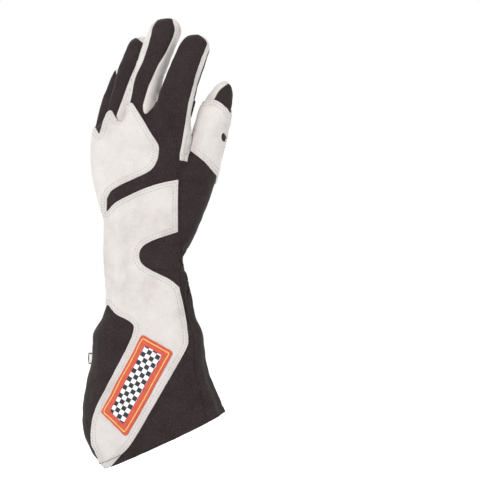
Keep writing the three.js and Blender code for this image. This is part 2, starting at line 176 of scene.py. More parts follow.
# Sections of the thumb and the ball of the thumb, in the same columns
THUMB = np.array([
    [6, 15, 4, 17, 13],
    [20, 18.5, 6, 19.6, 18],
    [38, 24, 9, 21.4, 20],
    [60, 31.5, 12.4, 22, 20.6],
    [81, 41, 16, 19, 18],
    [95, 45.5, 18.5, 16.6, 16.4],
    [110, 50.2, 20.8, 14.9, 15],
    [127, 54.6, 23, 14.5, 14.2],
    [139, 57, 24.2, 13.9, 13.4],
    [150, 60.4, 25.6, 11.8, 12],
    [158, 62.8, 26.6, 8.8, 9.6],
    [164, 64.4, 27.4, 5, 5.8],
    [166.8, 65, 27.8, 1.4, 1.8],
])

# Fingers: root x, y, z, length, lean, curl at root and tip in degrees, half width and
# half depth at the root and at the tip
FINGERS = {
    "little": (-44.4, 6, 112, 77, 4, 12, 40, 10.4, 9.4, 9.0, 7.8),
    "ring": (-27.4, 0, 120, 96.5, 4.6, 6, 42, 10.6, 11.4, 11.4, 8.8),
    "middle": (-5, -1, 125, 107.2, 5.5, 4, 42, 11.8, 12.6, 15.0, 9.8),
    "index": (23.8, 2, 125, 87.8, 9.9, 4, 38, 17, 14.2, 12.7, 9.8),
}
BURIED = 16
# Round ends: length by the half width, squareness, rings, and the share they close to
TIP_LENGTH = 1.05
TIP_ROUNDING = 2.6
TIP_RINGS = 14
TIP_CLOSED = 0.04

# Seams on a finger, as shares of its half depth, how far short of the tip they stop, the
# round cap of the black at a fingertip, and the height at which other seams start or end
BACK_SEAM = -0.3
FRONT_SEAM = 0.62
INDEX_FRONT_SEAM = 0.92
TRIM_SEAM = 0.3
BACK_SHORT = -2
SIDE_SHORT = 3
SIDE_TIP = 8
TIP_CAP = 7
TIP_CAP_SIDE = 5
CAPPED_FROM = 150
PALE_FROM = 118
ON_INDEX = 2.4
CROTCH = 126
HAND_SIDE = 0.5
TRIM_FOOT = 95.6
BALL_FOOT = 22
BALL_TOP = 88
ZIGZAG_FOOT = 2.9
ZIGZAG_HEIGHT = 7.7
CUFF_SIDE_AT = -4.5
CUFF_SIDE_PER_X = -0.085
HEM_Z = -157.6
HEM_PER_X = 0.44
HEM_PER_Y = 0.22

# The seam between the black gore of the thumb and the white beside it: z, x at y = 0,
# and how much x falls for each millimetre towards the palm
GORE = np.array([
    [-10, 32, 1.3],
    [0, 32.2, 1.26],
    [14.6, 32.6, 1.21],
    [25, 33, 1.12],
    [37, 33.2, 0.78],
    [50, 33.5, 0.59],
    [65, 33.9, 0.5],
    [77, 34.2, 0.353],
    [92, 34, 0.12],
    [99, 35.6, 0.03],
    [107, 40, 0],
    [123, 47, 0],
    [137, 52.5, 0.05],
    [149, 63.8, 0.227],
    [157, 68.7, 0.263],
    [164, 76, 0.27],
    [172, 84, 0.27],
])

# Outlines of what is pale on the back of each finger, seen from BACK_VIEW, as x and z
PALE_RIGHT_OF = {
    "little": [
        (-40.5, 121), (-39.7, 123.7), (-31.6, 146.6), (-27.5, 160), (-24, 170), (-25, 174.2),
        (-28, 176), (-30, 190), (60, 190), (60, 121),
    ],
    "ring": [
        (-24, 131), (-25.5, 135.9), (-16.1, 162.8), (-8, 184.4), (-2.6, 199.8), (-3, 202.4),
        (-5.5, 204.6), (-9, 208), (-9, 220), (60, 220), (60, 131),
    ],
    "middle": [
        (0.4, 136.6), (-1.2, 139.5), (-1.6, 144.6), (3.4, 161.5), (12.2, 181.6), (18.3, 191.8),
        (24.4, 206.5), (25.9, 212.6), (25.6, 216.3), (24.6, 219), (23.6, 222), (23.4, 240),
        (60, 240), (60, 158), (14, 151), (8.5, 144.5), (5.2, 140), (2.5, 137.2),
    ],
}
# The foot of the middle finger's strip, where it crosses its neighbours
KNUCKLE_PALE = [
    (0.4, 136.6), (-1.2, 139.5), (-1.6, 144.6), (-1.6, 160), (8.5, 160), (8.5, 144.5), (5.2, 140),
    (2.5, 137.2),
]
# The pale strip on the little finger's side of the middle finger, seen the same way
PALE_LEFT_OF_MIDDLE = [
    (-13.6, 146), (-13.4, 148.6), (-10, 164.8), (-7.3, 172.9), (-1.9, 185.1), (2, 197.8),
    (4.4, 207.9), (4.8, 213), (5.5, 216.3), (6.8, 219), (8.4, 222), (8.6, 240), (-60, 240),
    (-60, 146),
]
# The pale strip beside the index finger seen the same way: z, left and right edge
INDEX_STRIP = np.array([
    [90, 31.2, 35.6],
    [95.6, 31.2, 35.6],
    [100.6, 31.4, 35.6],
    [112, 33.4, 37.2],
    [127.8, 36, 41],
    [146.6, 39, 47],
    [166.1, 44.8, 53],
    [183, 50.7, 60],
    [196.5, 55, 66],
    [200.6, 54.6, 70],
    [204.5, 52, 74],
    [207.2, 49, 76],
    [212, 42, 80],
])

# The seam round the ball of the thumb on the palm: z and x seen from PALM_VIEW
THUMB_BASE = np.array([
    [20, 12],
    [31.4, 2.5],
    [43, -6],
    [53, -10.2],
    [64, -12],
    [76, -11],
    [90, -6],
    [100, 1],
    [110, 12],
])

# Outlines as stretches: straight or curved, and the points of each as x and z
BACK_OVERLAY = [
    (False, [(-64, 139), (-46.5, 129), (-40.4, 119.6)]),
    (True, [(-36, 133), (-30.5, 140.8), (-25.9, 134.5)]),
    (False, [(-23.8, 131.8)]),
    (True, [(-15.4, 143.5), (-12.8, 146.4), (-10.2, 145.6), (-2.8, 134.3), (5.5, 120.6),
            (12.4, 109.6), (13, 102.7), (11, 94.4), (5.5, 86.9), (-5.5, 81.3), (-19.3, 75.2),
            (-29, 69.6), (-33, 62.7)]),
    (False, [(-33.6, 51)]),
    (True, [(-23.9, 59.8), (-5.6, 68.8), (11.2, 74.9), (29.6, 79)]),
    (False, [(29.6, 33.4)]),
    (True, [(7, 25.6), (-2.5, 18.6), (-3.6, 9.8), (2.6, 2.4), (21.6, -7.4), (30.7, -14.7)]),
    (True, [(35.1, -34.8), (38.6, -58), (34.9, -71.8), (9.8, -115.4), (-9.6, -149), (-19.3, -160.5),
            (-29.6, -172)]),
    (False, [(-36, -190), (-52, -190)]),
    (True, [(-41, -170), (-43.3, -160), (-46.8, -152), (-47, -138), (-41, -117.9),
            (-20.4, -78.8), (-10.2, -57.9)]),
    (True, [(-8.6, -49), (-13.8, -43.6), (-23.8, -38.8), (-31.6, -31)]),
    (False, [(-64, -31)]),
]
PALM_PATCH = [
    (True, [(-48, 131.5), (-45.6, 137.4), (-41.7, 138.9), (-37.5, 137.9)]),
    (False, [(-27.5, 128.3)]),
    (True, [(-24.6, 138), (-22.8, 145), (-18, 146.4), (-14, 142.6), (-6.4, 135.7)]),
    (True, [(-2, 138), (3.3, 149), (6.6, 150.6), (10, 149.6), (17.6, 136.8)]),
    (True, [(21.4, 138), (26.8, 147), (32, 148.4), (36.5, 146.8), (29.4, 129), (22.3, 113),
            (12.6, 106.4), (5, 106), (0.9, 103.4), (-7.2, 92), (-12, 75), (-16.5, 49), (-22.8, 39),
            (-36.3, 31)]),
    (True, [(-40, 34), (-43, 43), (-46, 70), (-48, 110)]),
]
THUMB_BACK_OUTLINE = [
    (True, [(30, 112), (40, 104.6), (52.3, 94.6), (62.4, 83.5), (70, 76)]),
    (False, [(90, 76), (90, 136)]),
    (True, [(76, 137), (71.8, 141.7), (66, 146.6), (60.7, 148.8), (53, 148.2), (40, 146)]),
]
THUMB_LOBE_HIGH = [
    (False, [(80, 112), (80, 142.4), (61.4, 141.8)]),
    (True, [(51.3, 139.5), (44.5, 136.6), (40.7, 127.3), (42, 122.2), (45.4, 118.1)]),
    (False, [(57.2, 114.7), (66, 112)]),
]
THUMB_LOBE_LOW = [
    (False, [(80, 88), (80, 113), (60, 113)]),
    (True, [(56.8, 109.7), (49.6, 102.2), (41.2, 98), (35.3, 92.9), (32, 87), (33.2, 81.1), (37, 76),
            (42.9, 75), (48.8, 78.5), (52.1, 83), (55, 89)]),
    (False, [(60, 88)]),
]
# A chink of black between the two lobes at the side of the thumb: middle and half sizes
LOBE_CHINK = (69, 116.4, 1.9, 3.6)
BADGE = [(0.8, -55.8), (25.4, -69.4), (-15.4, -143.4), (-35.8, -125.6)]
BADGE_ROUND = 3.2
CORNER_SHARE = 0.8


# Small helpers
def unit(rows):
    return rows / np.maximum(np.linalg.norm(rows, axis=-1, keepdims=True), 1e-12)


def bell(value, width):
    return np.exp(-((value / width) ** 2))


def smoothstep(value, low, high):
    t = np.clip((value - low) / (high - low), 0, 1)
    return t * t * (3 - 2 * t)


def curve_through(rows, at):
    """Every column of the table at the given first-column values, on a smooth line."""
    keys = rows[:, 0]
    slopes = np.gradient(rows, keys, axis=0)
    i = np.clip(np.searchsorted(keys, at) - 1, 0, len(keys) - 2)
    span = (keys[i + 1] - keys[i])[..., None]
    t = (np.clip(at, keys[0], keys[-1]) - keys[i])[..., None] / span
    low, high = rows[i], rows[i + 1]
    rise_low, rise_high = slopes[i] * span, slopes[i + 1] * span
    return (
        low * (2 * t**3 - 3 * t**2 + 1)
        + rise_low * (t**3 - 2 * t**2 + t)
        + high * (3 * t**2 - 2 * t**3)
        + rise_high * (t**3 - t**2)
    )


def rounded_ring(count, squareness):
    angle = (np.arange(count) + 0.5) / count * 2 * math.pi
    ring = np.stack([np.cos(angle), np.sin(angle)], axis=1)
    return np.sign(ring) * np.abs(ring) ** (2 / squareness)


# The three forms that make up the skin
def level_rings(rows, count, squareness, step):
    heights = np.arange(rows[0, 0], rows[-1, 0], step)
    heights = np.append(heights, rows[-1, 0])
    table = curve_through(rows, heights)
    section = rounded_ring(count, squareness)
    rings = []
    for row in table:
        ring = np.empty((count, 3))
        ring[:, 0] = row[1] + section[:, 0] * row[3]
        ring[:, 1] = row[2] + section[:, 1] * row[4]
        ring[:, 2] = row[0]
        rings.append(ring)
    return rings


def finger_frame(finger, along):
    """Middle, directions across and down, and half sizes of a finger at distances along it."""
    x, y, z, length, lean, curl_root, curl_tip, root_a, root_b, tip_a, tip_b = FINGERS[finger]
    along = np.asarray(along, dtype=float)
    root, tip = math.radians(curl_root), math.radians(curl_tip)
    t = np.clip(along / length, 0, 1.1)
    curl = root + (tip - root) * t
    reach = length / (tip - root)
    straight = np.minimum(0, along)
    rise = reach * (np.sin(curl) - math.sin(root)) + straight * math.cos(root)
    drop = reach * (math.cos(root) - np.cos(curl)) + straight * math.sin(root)
    slope = math.tan(math.radians(lean))
    middle = np.stack([x + rise * slope, y + drop, z + rise], axis=-1)
    tangent = unit(np.stack([slope * np.cos(curl), np.sin(curl), np.cos(curl)], axis=-1))
    across = unit(np.array([1.0, 0, 0]) - tangent * tangent[..., :1])
    down = np.cross(tangent, across)
    share = np.clip(t, 0, 1)
    half_a = root_a + (tip_a - root_a) * share
    half_b = root_b + (tip_b - root_b) * share
    return middle, tangent, across, down, half_a, half_b


def finger_rings(finger, count):
    length, tip_a = FINGERS[finger][3], FINGERS[finger][9]
    cap = tip_a * TIP_LENGTH
    straight_end = length - cap
    along = list(np.arange(-BURIED, straight_end, 1.5))
    share = [min(1, 0.8 + 0.2 * (value + BURIED) / BURIED) for value in along]
    for t in np.sin(np.linspace(0, math.pi / 2, TIP_RINGS)):
        along.append(straight_end + cap * t)
        share.append(max(TIP_CLOSED, (1 - t**TIP_ROUNDING) ** (1 / TIP_ROUNDING)))
    middle, _, across, down, half_a, half_b = finger_frame(finger, along)
    section = rounded_ring(count, FINGER_SQUARENESS)
    rings = []
    for k, s in enumerate(share):
        u = section[:, :1] * half_a[k] * s
        v = section[:, 1:] * half_b[k] * s
        rings.append(middle[k] + u * across[k] + v * down[k])
    return rings


def loft_mesh(rings):
    count = len(rings[0])
    points = np.concatenate(rings)
    faces = []
    for r in range(len(rings) - 1):
        for k in range(count):
            n = (k + 1) % count
            faces.append((r * count + k, r * count + n, (r + 1) * count + n, (r + 1) * count + k))
    last = (len(rings) - 1) * count
    faces.append(tuple(range(count - 1, -1, -1)))
    faces.append(tuple(last + k for k in range(count)))
    return points, faces


def new_object(name, points, faces):
    mesh = bpy.data.meshes.new(name)
    mesh.from_pydata(points, [], faces)
    thing = bpy.data.objects.new(name, mesh)
    bpy.context.collection.objects.link(thing)
    return thing


def remeshed_skin():
    """All forms joined into one even skin: its points and triangles."""
    parts = [loft_mesh(level_rings(BODY, 120, BODY_SQUARENESS, 2.0))]
    parts.append(loft_mesh(level_rings(THUMB, 64, THUMB_SQUARENESS, 1.5)))
    parts.extend(loft_mesh(finger_rings(finger, 48)) for finger in FINGERS)
    points, faces = [], []
    offset = 0
    for part_points, part_faces in parts:
        points.append(part_points)
        faces.extend(tuple(i + offset for i in face) for face in part_faces)
        offset += len(part_points)
    source = new_object("skin_source", (np.concatenate(points) * MM).tolist(), faces)
    remesh = source.modifiers.new("even", "REMESH")
    remesh.mode = "VOXEL"
    remesh.voxel_size = VOXEL * MM
    graph = bpy.context.evaluated_depsgraph_get()
    result = source.evaluated_get(graph).to_mesh()
    co = np.empty(len(result.vertices) * 3)
    result.vertices.foreach_get("co", co)
    result.calc_loop_triangles()
    tri = np.empty(len(result.loop_triangles) * 3, dtype=np.int64)
    result.loop_triangles.foreach_get("vertices", tri)
    bpy.data.objects.remove(source)
    return co.reshape(-1, 3) / MM, tri.reshape(-1, 3)


def edges_of(tri):
    return np.concatenate([tri[:, [0, 1]], tri[:, [1, 2]], tri[:, [2, 0]]])


def unique_edges(tri):
    return np.unique(np.sort(edges_of(tri), axis=1), axis=0)


def middle_finder(edges, count):
    """Gives the number of the new point on an edge, when one follows for each edge listed."""
    keys = edges[:, 0].astype(np.int64) * count + edges[:, 1]

    def between(a, b):
        wanted = np.minimum(a, b).astype(np.int64) * count + np.maximum(a, b)
        return count + np.searchsorted(keys, wanted)

    return between


def refined(co, tri, inside):
    """The mesh with each flagged triangle split in four, and its neighbours to match."""
    sides = ((0, 1), (1, 2), (2, 0))
    both = np.stack([inside[tri[:, a]] & inside[tri[:, b]] for a, b in sides], axis=1)
    marked = np.concatenate([tri[both[:, k]][:, sides[k]] for k in range(3)])
    marked = np.unique(np.sort(marked, axis=1), axis=0)
    between = middle_finder(marked, len(co))
    count = both.sum(axis=1)
    parts = [tri[count == 0]]
    for k in range(3):
        rows = tri[(count == 1) & both[:, k]]
        a, b, c = rows[:, k], rows[:, (k + 1) % 3], rows[:, (k + 2) % 3]
        m = between(a, b)
        parts += [np.stack([a, m, c], axis=1), np.stack([m, b, c], axis=1)]
    a, b, c = tri[count == 3].T
    ab, bc, ca = between(a, b), between(b, c), between(c, a)
    parts += [np.stack(three, axis=1) for three in ((a, ab, ca), (ab, b, bc), (ca, bc, c), (ab, bc, ca))]
    points = (co[marked[:, 0]] + co[marked[:, 1]]) / 2
    return np.concatenate([co, points]), np.concatenate(parts)


def smoothed(co, edges, weight, rounds):
    """Moves each point towards the mean of its neighbours, as far as its weight says."""
    count = len(co)
    near = np.bincount(edges.ravel(), minlength=count)[:, None]
    for _ in range(rounds):
        total = np.empty_like(co)
        for axis in range(3):
            total[:, axis] = np.bincount(edges[:, 0], co[edges[:, 1], axis], count)
            total[:, axis] += np.bincount(edges[:, 1], co[edges[:, 0], axis], count)
        co = co + (total / near - co) * weight[:, None]
    return co


def point_normals(co, tri):
    face = np.cross(co[tri[:, 1]] - co[tri[:, 0]], co[tri[:, 2]] - co[tri[:, 0]])
    out = np.empty_like(co)
    for axis in range(3):
        out[:, axis] = sum(np.bincount(tri[:, k], face[:, axis], len(co)) for k in range(3))
    return unit(out)


# Where a point lies: on which finger, and how far from each form
def level_gap(rows, squareness, co):
    table = curve_through(rows, co[:, 2])
    across = np.abs(co[:, 0] - table[:, 1]) / table[:, 3]
    down = np.abs(co[:, 1] - table[:, 2]) / table[:, 4]
    radius = (across**squareness + down**squareness) ** (1 / squareness)
    gap = (radius - 1) * np.minimum(table[:, 3], table[:, 4])
    beyond = np.maximum(rows[0, 0] - co[:, 2], co[:, 2] - rows[-1, 0])
    return np.maximum(gap, beyond), table


def finger_place(finger, co):
    """Distance along, across and down a finger for each point, and its gap to the form."""
    length = FINGERS[finger][3]
    steps = np.arange(-BURIED * 2.5, length + 1, 1.0)
    middle, tangent, across, down, half_a, half_b = finger_frame(finger, steps)
    best = np.zeros(len(co), dtype=int)
    best_gap = np.full(len(co), 1e9)
    for k in range(len(steps)):
        flat = np.abs(np.sum((co - middle[k]) * tangent[k], axis=1))
        far = flat + 0.02 * np.linalg.norm(co - middle[k], axis=1)
        closer = far < best_gap
        best[closer] = k
        best_gap[closer] = far[closer]
    rel = co - middle[best]
    s = steps[best] + np.sum(rel * tangent[best], axis=1)
    u = np.sum(rel * across[best], axis=1)
    v = np.sum(rel * down[best], axis=1)
    a, b = half_a[best], half_b[best]
    radius = (np.abs(u / a) ** FINGER_SQUARENESS + np.abs(v / b) ** FINGER_SQUARENESS)
    radius = radius ** (1 / FINGER_SQUARENESS)
    gap = np.maximum((radius - 1) * np.minimum(a, b), np.maximum(s - length, -BURIED - s))
    return {"s": s, "u": u, "v": v, "b": b, "gap": gap, "length": length}


def seen_from_back(co):
    return co[:, 0] * math.cos(BACK_VIEW) + co[:, 1] * math.sin(BACK_VIEW)


def seen_from_palm(co):
    return co[:, 0] * math.cos(PALM_VIEW) - co[:, 1] * math.sin(PALM_VIEW)


# Flat outlines and the distance to them
def outline(stretches, per_span=8):
    """A closed line through the stretches; each curved one is smooth from the last point."""
    points = []
    for curved, stretch in stretches:
        if not curved:
            points.extend(np.array(stretch, dtype=float))
            continue
        knots = ([points[-1]] if points else []) + [np.array(p, dtype=float) for p in stretch]
        padded = [2 * knots[0] - knots[1]] + knots + [2 * knots[-1] - knots[-2]]
        start = 1 if points else 0
        fresh = []
        for i in range(1, len(padded) - 2):
            p0, p1, p2, p3 = padded[i - 1:i + 3]
            for t in np.arange(per_span) / per_span:
                fresh.append(0.5 * (
                    2 * p1 + (p2 - p0) * t
                    + (2 * p0 - 5 * p1 + 4 * p2 - p3) * t**2
                    + (3 * p1 - p0 - 3 * p2 + p3) * t**3
                ))
        fresh.append(knots[-1])
        points.extend(fresh[start:])
    return np.array(points)


def outline_distance(line, x, z):
    """Distance to a closed line, below zero inside it."""
    p = np.stack([x, z], axis=1)
    best = np.full(len(p), 1e9)
    inside = np.zeros(len(p), dtype=bool)
    for a, b in zip(line, np.roll(line, -1, axis=0)):
        ab = b - a
        t = np.clip(((p - a) @ ab) / max(ab @ ab, 1e-12), 0, 1)
        best = np.minimum(best, np.linalg.norm(p - a - t[:, None] * ab, axis=1))
        if a[1] != b[1]:
            crosses = (a[1] > p[:, 1]) != (b[1] > p[:, 1])
            at = a[0] + (p[:, 1] - a[1]) * ab[0] / ab[1]
            inside ^= crosses & (p[:, 0] < at)
    return np.where(inside, -best, best)


def round_cornered(corners, radius, x, z):
    """Distance to the shape with these corners once they are rounded off."""
    line = np.array(corners, dtype=float)
    outwards = unit(line - line.mean(axis=0))
    return outline_distance(line - radius * outwards, x, z) - radius * CORNER_SHARE


# A cloth is a dictionary: "co", "normal" and named "fields" for each point, and "tri"
def field(cloth, name):
    return cloth["fields"][name]


def off_zero(values):
    return np.where(np.abs(values) < 1e-7, 1e-7, values)


def cut(cloth, values):
    """Splits a cloth along the line where values are zero: the part below, the part above."""
    values = off_zero(values)
    tri = cloth["tri"]
    low = values[tri] < 0
    whole = low.sum(axis=1)
    mixed = tri[(whole == 1) | (whole == 2)]
    count = len(cloth["co"])
    edges = unique_edges(mixed)
    edges = edges[(values[edges[:, 0]] < 0) != (values[edges[:, 1]] < 0)]
    t = values[edges[:, 0]] / (values[edges[:, 0]] - values[edges[:, 1]])
    between = middle_finder(edges, count)

    def extended(array):
        weight = t if array.ndim == 1 else t[:, None]
        fresh = array[edges[:, 0]] * (1 - weight) + array[edges[:, 1]] * weight
        return np.concatenate([array, fresh])

    co = extended(cloth["co"])
    normal = unit(extended(cloth["normal"]))
    fields = {name: extended(array) for name, array in cloth["fields"].items()}
    sides = {True: [tri[whole == 3]], False: [tri[whole == 0]]}
    for k in range(3):
        a, b, c = mixed[:, k], mixed[:, (k + 1) % 3], mixed[:, (k + 2) % 3]
        low_a, low_b, low_c = values[a] < 0, values[b] < 0, values[c] < 0
        alone = (low_a != low_b) & (low_a != low_c)
        a, b, c, low_a = a[alone], b[alone], c[alone], low_a[alone]
        ab, ac = between(a, b), between(a, c)
        for side in (True, False):
            mine = low_a == side
            sides[side].append(np.stack([a, ab, ac], axis=1)[mine])
            other = ~mine
            sides[side].append(np.stack([ab, b, c], axis=1)[other])
            sides[side].append(np.stack([ab, c, ac], axis=1)[other])
    return tuple(packed(co, normal, fields, np.concatenate(sides[side])) for side in (True, False))


def packed(co, normal, fields, tri):
    used = np.unique(tri)
    place = np.full(len(co), -1)
    place[used] = np.arange(len(used))
    return {
        "co": co[used],
        "normal": normal[used],
        "fields": {name: array[used] for name, array in fields.items()},
        "tri": place[tri],
    }


def split_off(cloth, values):
    """Cuts a cloth and gives the biggest stretch below zero, and all that is left."""
    below, above = cut(cloth, values)
    main, crumbs = largest(below)
    return main, joined(above, crumbs)


def joined(one, two):
    if not len(two["tri"]):
        return one
    return {
        "co": np.concatenate([one["co"], two["co"]]),
        "normal": np.concatenate([one["normal"], two["normal"]]),
        "fields": {k: np.concatenate([v, two["fields"][k]]) for k, v in one["fields"].items()},
        "tri": np.concatenate([one["tri"], two["tri"] + len(one["co"])]),
    }


def largest(cloth):
    """The biggest connected stretch of a cloth, and the crumbs beside it."""
    count = len(cloth["co"])
    label = np.arange(count)
    edges = unique_edges(cloth["tri"])
    while True:
        low = np.minimum(label[edges[:, 0]], label[edges[:, 1]])
        fresh = label.copy()
        np.minimum.at(fresh, edges[:, 0], low)
        np.minimum.at(fresh, edges[:, 1], low)
        fresh = fresh[fresh]
        if np.array_equal(fresh, label):
            break
        label = fresh
    names, sizes = np.unique(label[cloth["tri"][:, 0]], return_counts=True)
    keep = label[cloth["tri"][:, 0]] == names[np.argmax(sizes)]
    parts = (cloth["tri"][keep], cloth["tri"][~keep])
    return tuple(packed(cloth["co"], cloth["normal"], cloth["fields"], part) for part in parts)


def rim_edges(tri):
    edges = edges_of(tri)
    key = np.sort(edges, axis=1)
    _, first, counts = np.unique(key, axis=0, return_index=True, return_counts=True)
    return edges[first[counts == 1]]


def rim_distance(cloth, reach):
    """Distance of each point to the cloth's own edge, up to reach."""
    rim = np.unique(rim_edges(cloth["tri"]))
    far = np.full(len(cloth["co"]), float(reach))
    if not len(rim):
        return far
    tree = kdtree.KDTree(len(rim))
    for k, i in enumerate(rim):
        tree.insert(cloth["co"][i], k)
    tree.balance()
    for i, point in enumerate(cloth["co"]):
        far[i] = min(reach, tree.find(point)[2])
    return far


def contour(cloth, values):
    """The lines on a cloth where values are zero, as ordered points and normals."""
    values = off_zero(values)
    tri = cloth["tri"]
    low = values[tri] < 0
    mixed = tri[(low.sum(axis=1) == 1) | (low.sum(axis=1) == 2)]
    links, point_of = {}, {}
    for face in mixed:
        ends = []
        for k in range(3):
            a, b = sorted((int(face[k]), int(face[(k + 1) % 3])))
            if (values[a] < 0) == (values[b] < 0):
                continue
            if (a, b) not in point_of:
                t = values[a] / (values[a] - values[b])
                place = cloth["co"][a] * (1 - t) + cloth["co"][b] * t
                turn = cloth["normal"][a] * (1 - t) + cloth["normal"][b] * t
                point_of[(a, b)] = (place, turn / np.linalg.norm(turn))
            ends.append((a, b))
        for one, two in ((ends[0], ends[1]), (ends[1], ends[0])):
            links.setdefault(one, []).append(two)
    return chained(links, point_of)


def chained(links, point_of):
    lines, seen = [], set()
    order = sorted(links, key=lambda key: (len(links[key]) != 1, key))
    for start in order:
        if start in seen:
            continue
        line, here = [start], start
        seen.add(start)
        while True:
            onward = [key for key in links[here] if key not in seen]
            if not onward:
                break
            here = onward[0]
            seen.add(here)
            line.append(here)
        closed = len(line) > 3 and start in links[here] and len(links[start]) == 2
        if closed:
            line.append(start)
        places = np.array([point_of[key][0] for key in line])
        turns = np.array([point_of[key][1] for key in line])
        lines.append((places, turns))
    return lines


def rim_lines(cloth):
    """The cloth's own edges as ordered lines of points and normals."""
    links = {}
    for a, b in rim_edges(cloth["tri"]).tolist():
        links.setdefault(a, []).append(b)
        links.setdefault(b, []).append(a)
    point_of = {i: (cloth["co"][i], cloth["normal"][i]) for i in links}
    return chained(links, point_of)


def evenly(line, pitch, smooth):
    """A line's points and normals again at an even pitch, slightly smoothed."""
    places, turns = line
    step = np.linalg.norm(np.diff(places, axis=0), axis=1)
    keep = np.concatenate([[True], step > 1e-5])
    places, turns = places[keep], turns[keep]
    if len(places) < 4:
        return None
    for _ in range(smooth):
        places[1:-1] = (places[:-2] + 2 * places[1:-1] + places[2:]) / 4
        turns[1:-1] = (turns[:-2] + 2 * turns[1:-1] + turns[2:]) / 4
    run = np.concatenate([[0], np.cumsum(np.linalg.norm(np.diff(places, axis=0), axis=1))])
    if run[-1] < pitch * 3:
        return None
    at = np.linspace(0, run[-1], max(3, int(round(run[-1] / pitch)) + 1))
    places = np.stack([np.interp(at, run, places[:, k]) for k in range(3)], axis=1)
    turns = np.stack([np.interp(at, run, turns[:, k]) for k in range(3)], axis=1)
    return places, unit(turns)


def all_even(lines, pitch, smooth):
    """The lines at an even pitch, without those that are too short for it."""
    even = [evenly(line, pitch, smooth) for line in lines]
    return [line for line in even if line is not None]


# Making pieces. A look is a material and its slot
def new_piece(name, shape, look):
    points, faces = shape
    material, slot = look
    piece = new_object(name, (np.asarray(points) * MM).tolist(), [tuple(f) for f in faces])
    mesh = piece.data
    mesh.validate()
    mesh.update()
    mesh.polygons.foreach_set("use_smooth", np.ones(len(mesh.polygons), dtype=bool))
    mesh.materials.append(material)
    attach(piece, "root")
    return piece


def slab(cloth, top, bottom):
    """A closed layer over a cloth between two heights along its normals."""
    count = len(cloth["co"])
    upper = cloth["co"] + cloth["normal"] * np.broadcast_to(top, count)[:, None]
    lower = cloth["co"] + cloth["normal"] * np.broadcast_to(bottom, count)[:, None]
    a, b = rim_edges(cloth["tri"]).T
    walls = [np.stack([b, a, a + count], axis=1), np.stack([b, a + count, b + count], axis=1)]
    faces = np.concatenate([cloth["tri"], cloth["tri"][:, ::-1] + count, *walls])
    return np.concatenate([upper, lower]), faces


def panel_piece(name, cloth, look, tuck=SEAM_TUCK):
    """A wall of the shell, drawn in a little along its edges as a sewn panel is."""
    flat = smoothstep(rim_distance(cloth, SEAM_SOFT), 0, SEAM_SOFT)
    turned = 1 - smoothstep(field(cloth, "hem"), *HEM_TURN)
    height = HEM_RAISE * turned - tuck * (1 - flat) * (1 - turned)
    piece = new_piece(name + "_cloth", slab(cloth, height, -WALL), look)
    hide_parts(name)


def overlay_piece(name, cloth, look, rows_of=None, low=LAYER_LOW, high=LAYER_HIGH, soft=LAYER_ROUND):
    """A layer sewn on top, thinner towards its edge and drawn down along its stitches."""
    far = rim_distance(cloth, soft)
    share = np.sqrt(np.clip(1 - (1 - far / soft) ** 2, 0, 1))
    height = low + (high - low) * (EDGE_SHARE + (1 - EDGE_SHARE) * share)
    if rows_of:
        for row in ROWS:
            height -= ROW_DENT * bell(field(cloth, rows_of) + row, ROW_WIDTH)
    piece = new_piece(name + "_cloth", slab(cloth, height, low), look)
    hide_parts(name)


def tube_faces(base, rings, sides):
    """Walls and both ends of a tube whose points follow ring by ring from base on."""
    faces = []
    for r in range(rings - 1):
        a, b = base + r * sides, base + (r + 1) * sides
        for k in range(sides):
            m = (k + 1) % sides
            faces.append((a + k, b + k, b + m, a + m))
    last = base + (rings - 1) * sides
    faces.append(tuple(base + k for k in range(sides)))
    faces.append(tuple(last + k for k in range(sides - 1, -1, -1)))
    return faces


def sweep(lines, profile, lift):
    """A narrow strip of the given profile (side, up) laid along each line."""
    points, faces = [], []
    for places, turns in lines:
        side = np.cross(turns, unit(np.gradient(places, axis=0)))
        faces += tube_faces(len(points), len(places), len(profile))
        for p, n, w in zip(places, turns, side):
            points += [p + w * across + n * (up + lift) for across, up in profile]
    return points, faces


def stitch_piece(name, lines, look, pitch=2.6, length=1.45):
    """Short rounded threads along lines, each dipping in at its two ends."""
    points, faces = [], []
    circle = [2 * math.pi * k / STITCH_SIDES for k in range(STITCH_SIDES)]
    for places, turns in all_even(lines, pitch, 3):
        for p, n, t in zip(places, turns, unit(np.gradient(places, axis=0))):
            w = np.cross(n, t)
            faces += tube_faces(len(points), len(STITCH), STITCH_SIDES)
            for at, thick, up in STITCH:
                middle = p + t * at * length + n * (STITCH_LIFT + up * STITCH_RADIUS)
                reach = STITCH_RADIUS * thick
                points += [middle + (w * math.cos(a) + n * math.sin(a)) * reach for a in circle]
    new_piece(name, (points, faces), look)


def raised(lines, height):
    return [(places + turns * height, turns) for places, turns in lines]


def inset_rows(cloth, name, rows, height):
    """Lines on a cloth at these distances in from the outline that a field measures."""
    lines = []
    for inset in rows:
        lines += raised(contour(cloth, field(cloth, name) + inset), height)
    return lines


# Materials
def node_material(name):
    material = bpy.data.materials.new(name)
    material.use_nodes = True
    tree = material.node_tree
    return material, tree, tree.nodes.new("ShaderNodeTexCoord").outputs["Object"]


def fill(tree, node, inputs):
    """Sets each named input, or links it where a socket is given."""
    for name, value in inputs.items():
        if isinstance(value, bpy.types.NodeSocket):
            tree.links.new(value, node.inputs[name])
        else:
            node.inputs[name].default_value = value


def shade(tree, inputs):
    fill(tree, tree.nodes["Principled BSDF"], inputs)


def new_node(tree, kind, result, inputs):
    node = tree.nodes.new("ShaderNode" + kind)
    fill(tree, node, inputs)
    return node.outputs[result]


def noise_of(tree, place, scale, detail, roughness=0.6):
    inputs = {"Vector": place, "Scale": scale, "Detail": detail, "Roughness": roughness}
    return new_node(tree, "TexNoise", "Fac", inputs)


